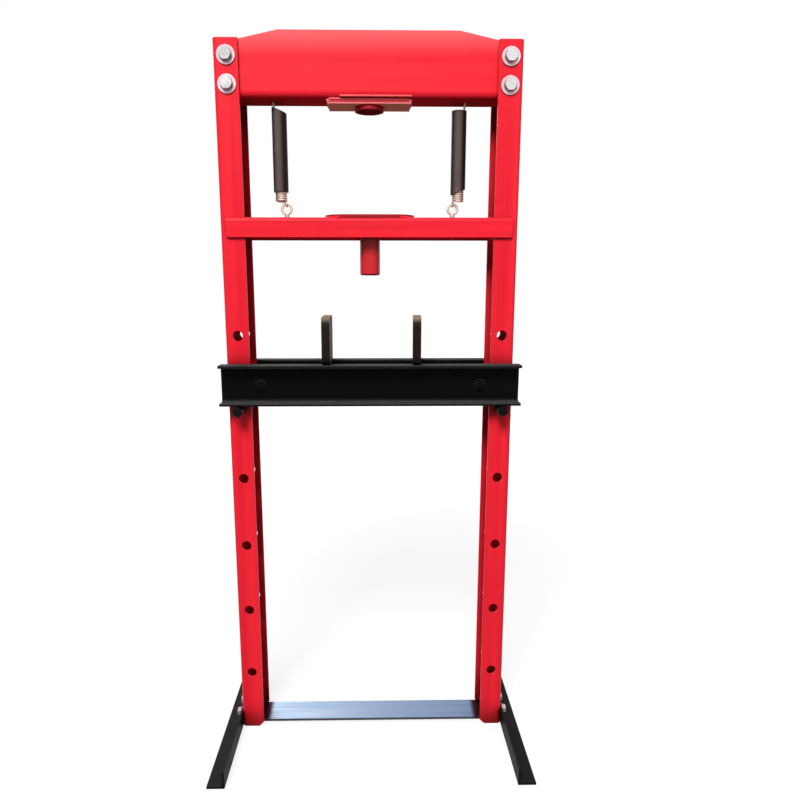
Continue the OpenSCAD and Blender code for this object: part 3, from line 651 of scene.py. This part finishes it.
# The darker front edge is painted shade.
front_edge_shade = between(tree, one_of(tree, facing(tree), "Y"), -0.5, -0.8)
body = blend_colour(tree, front_edge_shade, body, (0.065, 0.075, 0.080))
from_middle = math_node(tree, "ABSOLUTE", side_place)
# Dark and reddish beside each upright: painted shade and a painted reflection of the red
# upright.
upright_shade_and_reflection = between(tree, from_middle, DARK_FROM, DARK_TO)
body = blend_colour(tree, upright_shade_and_reflection, body, (0.03, 0.003, 0.010))
# Painted shade in the corners.
body = blend_colour(tree, place(tree, corner_shade, Reach=0.02)["Mask"], body,
                    (0.03, 0.035, 0.05))
rough = between(tree, drawn["Lines"], 0.0, 1.0, 0.36, 0.52)
wire_up(tree, (body, shader.inputs["Base Color"]), (rough, shader.inputs["Roughness"]))
raise_surface(tree, shader, drawn["Lines"], depth=0.00001, normal=edge["Normal"])
print("tie bar:", tie_zinc.name)

# %% [markdown]
# ### Rubber
# The springs wear lengths of black hose. Rubber is matt but not dead: it has a broad
# weak shine. A broad strip at the front and another at the back, turned a little to the
# left, are greyer: a painted highlight. The sides between them are near black: painted
# shade. A round hose has no edge to go by, so the strips are found from the way its
# surface faces.

# %% Mix the rubber
HIGHLIGHT_WAY = (-0.24, -0.971, 0.0)

hose_rubber, tree, shader = finish("hose rubber", roughness=0.46, specular=0.12)
coat = place(tree, skin, Dimples_per_metre=1400.0, Specks=0.6)
edge = place(tree, edges, Radius=0.0006, Wear=0.5)
# The greyer strips are a painted highlight, the near black sides painted shade.
highlight_grey = blend_colour(tree, coat["Haze"], (0.094, 0.066, 0.056), (0.120, 0.090, 0.077))
highlight_facing = vector_node(tree, "DOT_PRODUCT", facing(tree), HIGHLIGHT_WAY)["Value"]
highlight_strip = between(tree, math_node(tree, "ABSOLUTE", highlight_facing), 0.74, 1.0)
body = blend_colour(tree, highlight_strip, (0.014, 0.006, 0.004), highlight_grey)
body = blend_colour(tree, edge["Mask"], body, (0.08, 0.06, 0.05))
hazy = between(tree, coat["Haze"], 0.0, 1.0, 0.40, 0.58)
wire_up(tree, (body, shader.inputs["Base Color"]), (hazy, shader.inputs["Roughness"]))
raise_surface(tree, shader, coat["Height"], depth=0.00003, normal=edge["Normal"])
print("rubber:", hose_rubber.name)

# %% [markdown]
# ## Dressing the solids
# Each solid of the press takes one finish, chosen by the words in its name. The first
# word that fits counts, so the longer words come before the shorter ones.

# %% Give every solid its finish
FINISH_BY_WORD = [
    ("eye_bolt", wire_steel), ("spring_sleeve", hose_rubber), ("spring", wire_steel),
    ("press_plate", plate_steel), ("support_pin", pin_steel), ("tie_bar", tie_zinc),
    ("head_bolt", bright_zinc), ("head_nut", bright_zinc), ("head_washers", washer_zinc),
    ("foot_bolt", washer_zinc), ("foot_nut", bright_zinc), ("foot_washers", bright_zinc),
    ("eye_", bright_zinc), ("bed_bolt", bolt_black), ("bed_", black_satin),
    ("_foot", foot_satin), ("_upright", upright_enamel), ("head_beam", head_enamel),
    ("jack_seat_plate", seat_enamel), ("jack_plate", shaded_enamel),
    ("ram_cup", shaded_enamel), ("crossbar", red_enamel), ("punch_tube", tube_enamel),
]

for name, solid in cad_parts.items():
    for word, material in FINISH_BY_WORD:
        if word in name:
            solid.data.materials.clear()
            solid.data.materials.append(material)
            break
    else:
        raise ValueError("no finish for " + name)
print("dressed", len(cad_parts), "solids")

# %% [markdown]
# ## The return springs
# Each spring is one length of wire: a close coil with a hook at both ends. In the
# solids it is coarse. Here the same path is drawn with many more points and swept with
# a round section. A modifier such as Screw could make the coil alone, but not the hooks
# in one piece with it. Lengths and heights are those of the solids.

# %% Draw the path of a spring's wire
WIRE = 3 * MM
COIL_R = 9.1 * MM
SPRING_TOP = 1186.8 * MM
HOOK_RISE = 27 * MM
HOOK_TAIL = 12 * MM
LOW_HOOK = 1007.7 * MM
LOW_HOOK_RISE = 8.3 * MM
LOW_HOOK_TAIL = 0.5 * MM
HOOK_BEND = 4 * MM
HOOK_CORNER = 3.5 * MM
HOOK_BACK = 6 * MM
TURNS = 46.5
STEPS_PER_TURN = 28
STEPS_PER_BEND = 8


def arc(y, z, radius, start, end):
    """Points of a hook's bend, in the plane that touches the coil."""
    step = (end - start) / STEPS_PER_BEND
    turns = [math.radians(start + step * i) for i in range(STEPS_PER_BEND + 1)]
    return [(COIL_R, y + radius * math.cos(t), z + radius * math.sin(t)) for t in turns]


def hook(coil_half, rise, tail):
    """A hook: off the coil, up, over and down again."""
    rim = coil_half + rise - HOOK_CORNER
    return (arc(0, coil_half + HOOK_BEND, HOOK_BEND, -90, 0)
            + arc(HOOK_BEND - HOOK_CORNER, rim, HOOK_CORNER, 0, 90)
            + arc(HOOK_CORNER - HOOK_BACK, rim, HOOK_CORNER, 90, 180)
            + [(COIL_R, -HOOK_BACK, rim - tail)])


def spring_path():
    """The whole wire, about the middle of the coil."""
    half = (SPRING_TOP - HOOK_RISE - LOW_HOOK - LOW_HOOK_RISE) / 2
    steps = int(TURNS * STEPS_PER_TURN)
    coil = []
    for i in range(steps + 1):
        turn = math.pi + 2 * math.pi * TURNS * i / steps
        coil.append((COIL_R * math.cos(turn), COIL_R * math.sin(turn),
                     half * (2 * i / steps - 1)))
    upper = hook(half, HOOK_RISE, HOOK_TAIL)
    lower = [(-x, y, -z) for x, y, z in hook(half, LOW_HOOK_RISE, LOW_HOOK_TAIL)]
    return lower[:0:-1] + coil + upper[1:]


print("points along a spring:", len(spring_path()))

# %% A helper that sweeps a round wire along a path
ROUNDNESS = 3


def swept_wire(name, path, radius):
    """A closed mesh tube along the points of a path."""
    curve = bpy.data.curves.new(name + "_line", "CURVE")
    curve.dimensions = "3D"
    spline = curve.splines.new("POLY")
    spline.points.add(len(path) - 1)
    for point, spot in zip(spline.points, path):
        point.co = (*spot, 1)
    curve.bevel_depth = radius
    curve.bevel_resolution = ROUNDNESS
    curve.use_fill_caps = True
    holder = bpy.data.objects.new(name + "_line", curve)
    bpy.context.scene.collection.objects.link(holder)
    bpy.context.view_layer.update()
    mesh = bpy.data.meshes.new_from_object(holder.evaluated_get(
        bpy.context.evaluated_depsgraph_get()))
    bpy.data.objects.remove(holder)
    bpy.data.curves.remove(curve)
    mesh.name = name
    piece = bpy.data.objects.new(name, mesh)
    bpy.context.scene.collection.objects.link(piece)
    for face in mesh.polygons:
        face.use_smooth = True
    return piece


print("wire helper ready")

# %% Wind both springs
COIL_TOP = SPRING_TOP - HOOK_RISE
COIL_FOOT = LOW_HOOK + LOW_HOOK_RISE
COIL_MIDDLE = (COIL_TOP + COIL_FOOT) / 2

for word, side in (("left", -1), ("right", 1)):
    low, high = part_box(word + "_spring_sleeve")
    axis_x = (low.x + high.x) / 2
    path = [(axis_x + side * x, side * y, COIL_MIDDLE + z) for x, y, z in spring_path()]
    spring = swept_wire(word + "_return_spring", path, WIRE / 2)
    spring.data.materials.append(wire_steel)
    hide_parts(word + "_spring")
    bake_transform(spring)
    print(spring.name, len(spring.data.polygons), "faces")

# %% [markdown]
# ## Welds
# The seat plate, the cup, the jack plate and the punch tube are welded on, and the red
# paint runs over the beads. One more bead runs along the bottom of the head's front
# face, above the seat plate. A bead is a low ridge with ripples, each ripple one step
# of the welder's hand. It is swept as a tube whose radius swells and shrinks, half
# sunk in the corner that it fills, because a bump on the paint could not fill a corner.

# %% A helper that makes a piece and fastens it
def fasten(name, vertices, faces, material, body):
    """A smooth mesh piece that rides on a body and takes its finish from a slot."""
    mesh = bpy.data.meshes.new(name)
    mesh.from_pydata(vertices, [], faces)
    for face in mesh.polygons:
        face.use_smooth = True
    mesh.materials.append(material)
    piece = bpy.data.objects.new(name, mesh)
    bpy.context.scene.collection.objects.link(piece)
    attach(piece, body)


print("piece helper ready")

# %% A helper that lays a weld bead
RIPPLE = 2.6 * MM
STEPS_PER_RIPPLE = 6
BEAD_SIDES = 10
LEAST_SWELL = 0.86
TAPER_LENGTH = 2.2
WANDERS = ((0.05, 310, 0), (0.04, 730, 1))
UP, ASIDE = Vector((0, 0, 1)), Vector((1, 0, 0))
STEEP = 0.2


def small_steps(path):
    """A path's points, with even steps of a fraction of a ripple between them."""
    points = []
    for a, b in zip(path, path[1:]):
        a, b = Vector(a), Vector(b)
        count = max(1, round((b - a).length / (RIPPLE / STEPS_PER_RIPPLE)))
        points += [a.lerp(b, i / count) for i in range(count)]
    return points + [Vector(path[-1])]


def bead_radius(radius, travelled, nearest_end, least):
    """A bead's radius here: swelling in each ripple, wandering, thin at the ends."""
    phase = (travelled / RIPPLE) % 1.0
    swell = LEAST_SWELL + (1 - LEAST_SWELL) * math.sqrt(phase)
    wander = sum(share * math.sin(travelled * rate + start)
                 for share, rate, start in WANDERS)
    taper = min(1.0, least + nearest_end / (TAPER_LENGTH * radius))
    return radius * (swell + wander) * taper


def weld_bead(name, path, radius, body, material=red_enamel, least=0.35):
    """A rippled, tapered tube along a path of points, riding on a body."""
    points = small_steps(path)
    vertices, faces = [], []
    travelled = 0.0
    total = sum((q - p).length for p, q in zip(points, points[1:]))
    for i, point in enumerate(points):
        if i:
            travelled += (point - points[i - 1]).length
        along = (points[min(i + 1, len(points) - 1)] - points[max(i - 1, 0)]).normalized()
        sideways = along.cross(UP)
        if sideways.length < STEEP:
            sideways = along.cross(ASIDE)
        sideways.normalize()
        upward = sideways.cross(along)
        r = bead_radius(radius, travelled, min(travelled, total - travelled), least)
        for k in range(BEAD_SIDES):
            turn = 2 * math.pi * k / BEAD_SIDES
            vertices.append(point + r * (math.cos(turn) * sideways
                                         + math.sin(turn) * upward))
    for i in range(len(points) - 1):
        here, ahead = i * BEAD_SIDES, (i + 1) * BEAD_SIDES
        for k in range(BEAD_SIDES):
            n = (k + 1) % BEAD_SIDES
            faces.append((here + k, here + n, ahead + n, ahead + k))
    faces.append(tuple(range(BEAD_SIDES))[::-1])
    faces.append(tuple((len(points) - 1) * BEAD_SIDES + k for k in range(BEAD_SIDES)))
    fasten(name, vertices, faces, material, body)


print("weld helper ready")

# %% Weld the seat plate and the cup
SEAT_INSET = 1 * MM
SEAT_SINK = 0.6 * MM
BEAD_LIFT = 0.4 * MM
SEAT_END_HALF = 26 * MM
SEAT_BEAD, SEAT_END_BEAD, CUP_BEAD = 2.6 * MM, 3.2 * MM, 1.5 * MM
BLUNT = 0.8
CUP_GAP = 0.2 * MM

seat_low, seat_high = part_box("jack_seat_plate")
for word, y in (("front", seat_low.y), ("rear", seat_high.y)):
    bead_y = y - math.copysign(SEAT_SINK, y)
    bead_z = seat_high.z + BEAD_LIFT
    weld_bead("seat_weld_" + word, [(seat_low.x + SEAT_INSET, bead_y, bead_z),
                                    (seat_high.x - SEAT_INSET, bead_y, bead_z)],
              SEAT_BEAD, "frame", bead_enamel)
for word, x in (("left", seat_low.x), ("right", seat_high.x)):
    bead_z = seat_high.z - SEAT_SINK
    weld_bead("seat_end_weld_" + word,
              [(x, -SEAT_END_HALF, bead_z), (x, SEAT_END_HALF, bead_z)],
              SEAT_END_BEAD, "frame", bead_enamel, least=BLUNT)


def ring_path(z, radius, steps=72):
    """Points round a level circle about the middle of the press, closed."""
    turns = [2 * math.pi * i / steps for i in range(steps + 1)]
    return [(radius * math.cos(t), radius * math.sin(t), z) for t in turns]


cup_low, cup_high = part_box("ram_cup")
cup_radius = (cup_high.x - cup_low.x) / 2
weld_bead("cup_weld", ring_path(cup_high.z, cup_radius + CUP_GAP), CUP_BEAD, "frame")
print("seat and cup welded")

# %% Weld the jack plate, the tube and the head's face
PLATE_CORNER = 32 * MM
CORNER_TURN = math.radians(80)
CORNER_STEPS = 8
FACE_BEAD_LEFT, FACE_BEAD_RIGHT = -51 * MM, 74 * MM
FACE_BEAD_Y, FACE_BEAD_Z = -32.2 * MM, 1184.1 * MM
PLATE_BEAD, TUBE_BEAD, FACE_BEAD = 2.2 * MM, 2.4 * MM, 2.2 * MM

plate_low, plate_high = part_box("jack_plate")
for word, side, x in (("left", -1, plate_low.x), ("right", 1, plate_high.x)):
    path = []
    for i in range(-CORNER_STEPS, CORNER_STEPS + 1):
        turn = CORNER_TURN * i / CORNER_STEPS
        end = math.copysign(1, i) if i else 0
        path.append((x - side * PLATE_CORNER * (1 - math.cos(turn)),
                     end * (plate_high.y - PLATE_CORNER) + PLATE_CORNER * math.sin(turn),
                     plate_low.z + BEAD_LIFT))
    weld_bead("jack_plate_weld_" + word, path, PLATE_BEAD, "crossbar")
tube_low, tube_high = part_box("punch_tube")
tube_radius = (tube_high.x - tube_low.x) / 2
weld_bead("punch_weld", ring_path(tube_high.z - BEAD_LIFT, tube_radius + BEAD_LIFT),
          TUBE_BEAD, "crossbar", tube_enamel)
weld_bead("seat_face_weld", [(FACE_BEAD_LEFT, FACE_BEAD_Y, FACE_BEAD_Z),
                             (FACE_BEAD_RIGHT, FACE_BEAD_Y, FACE_BEAD_Z)],
          FACE_BEAD, "frame", bead_enamel)
print("welds laid")

# %% [markdown]
# ## Threads
# The bolts come out of their nuts with a few turns of thread. Each end gets a thin
# threaded skin: a tube whose radius rises and falls along a helix. Real geometry is
# used instead of a bump, because these ends are seen against the room from behind.

# %% A helper that cuts a thread
THREAD_SIDES = 40
ROWS_PER_PITCH = 8
ROWS_OF_TAPER = 3
RIDGE_SHARE = 0.22
SKIN_GAP = 0.02 * MM


def thread_end(name, tip, outward, diameter, length, pitch, body, slot):
    """A threaded skin round a bolt's end. tip is the middle of the end face."""
    sideways = outward.orthogonal().normalized()
    upward = outward.cross(sideways)
    rows = max(2, round(length / pitch * ROWS_PER_PITCH))
    vertices, faces = [], []
    for row in range(rows + 1):
        back = length * row / rows
        ends = min(1.0, row / ROWS_OF_TAPER, (rows - row) / ROWS_OF_TAPER)
        for k in range(THREAD_SIDES):
            turn = k / THREAD_SIDES
            ridge = 1 - abs(2 * ((back / pitch + turn) % 1.0) - 1)
            r = diameter / 2 + SKIN_GAP + ends * ridge * RIDGE_SHARE * pitch
            vertices.append(tip - outward * back
                            + r * (math.cos(2 * math.pi * turn) * sideways
                                   + math.sin(2 * math.pi * turn) * upward))
    for row in range(rows):
        here, ahead = row * THREAD_SIDES, (row + 1) * THREAD_SIDES
        for k in range(THREAD_SIDES):
            n = (k + 1) % THREAD_SIDES
            faces.append((here + k, ahead + k, ahead + n, here + n))
    material = bright_zinc if slot == "zinc" else black_satin
    fasten(name, vertices, faces, material, body)


print("thread helper ready")

# %% Thread the bolts
# Each row: a word in the bolt's name, the way its end points (None is towards the
# middle of the press), diameter, length, pitch and how far inside the end the thread
# starts, all in millimetres, then the body and the slot.
THREADS = [
    ("head_bolt_", (0, 1, 0), 12, 3.0, 1.75, 1.2, "frame", "zinc"),
    ("_bed_bolt", (0, 1, 0), 10, 3.0, 1.5, 1.0, "bed", "black_paint"),
    ("foot_bolt_", None, 10, 3.2, 1.5, 1.0, "frame", "zinc"),
    ("_eye_bolt", (0, 0, -1), 8, 3.0, 1.25, 0.2, "crossbar", "zinc"),
]

threaded = 0
for name in sorted(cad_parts):
    for word, way, diameter, length, pitch, inset, body, slot in THREADS:
        if word not in name:
            continue
        low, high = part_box(name)
        middle, half = (low + high) / 2, (high - low) / 2
        outward = Vector(way or (-math.copysign(1, middle.x), 0, 0))
        tip = middle + outward * (abs(half.dot(outward)) - inset * MM)
        thread_end("thread_" + name, tip, outward, diameter * MM, length * MM,
                   pitch * MM, body, slot)
        threaded += 1
print("threads cut:", threaded)
